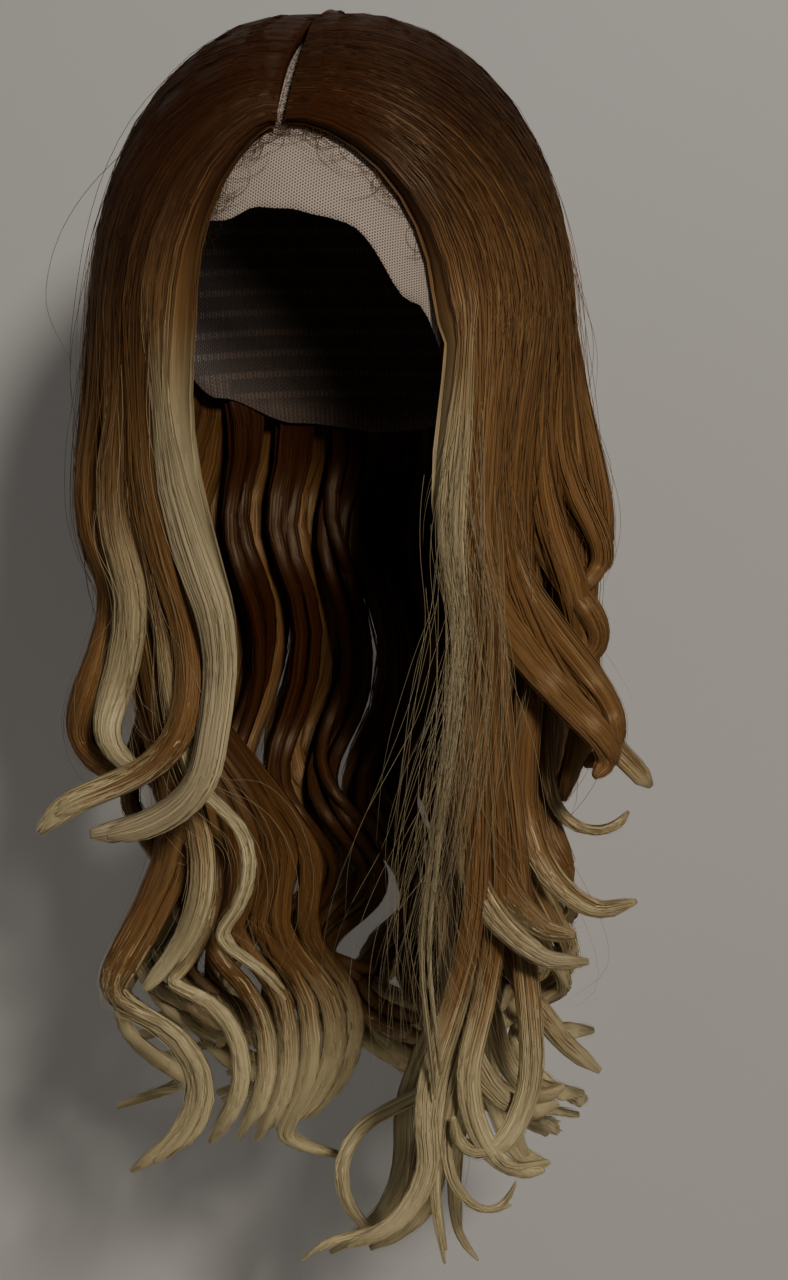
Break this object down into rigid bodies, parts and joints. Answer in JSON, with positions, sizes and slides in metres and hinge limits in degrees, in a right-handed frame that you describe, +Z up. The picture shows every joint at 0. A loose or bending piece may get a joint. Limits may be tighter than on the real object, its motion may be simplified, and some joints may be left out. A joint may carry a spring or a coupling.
{
  "type": "lace front wig",
  "caption": "Long wavy wig on an open cap, with a sheer lace front, a middle parting and separate locks that hang in curls below the shoulders.",
  "frame": {"origin": "inside top of the cap, where the crown of the head touches it, midway between the ears", "axes": "+Z up, the face opening towards -Y, the wearer's left towards +X"},
  "size_m": [0.2458, 0.2622, 0.517],
  "materials": {
    "cap_net": "dark stretch net with sewn weft rows",
    "sheer_lace": "sheer beige hexagonal lace",
    "highlight_hair": "silky ash blonde fibre with dark roots",
    "rooted_hair": "silky fibre from dark brown roots through caramel to blonde ends",
    "under_hair": "silky dark brown fibre with blonde ends"
  },
  "bodies": {
    "root": {"wig_cap": "cap_net", "lace_front": "sheer_lace", "front_lock_left": "highlight_hair", "front_lock_right": "highlight_hair", "side_hair_left": "rooted_hair", "side_hair_right": "rooted_hair", "back_hair": "rooted_hair", "nape_hair": "under_hair"}
  },
  "joints": []
}
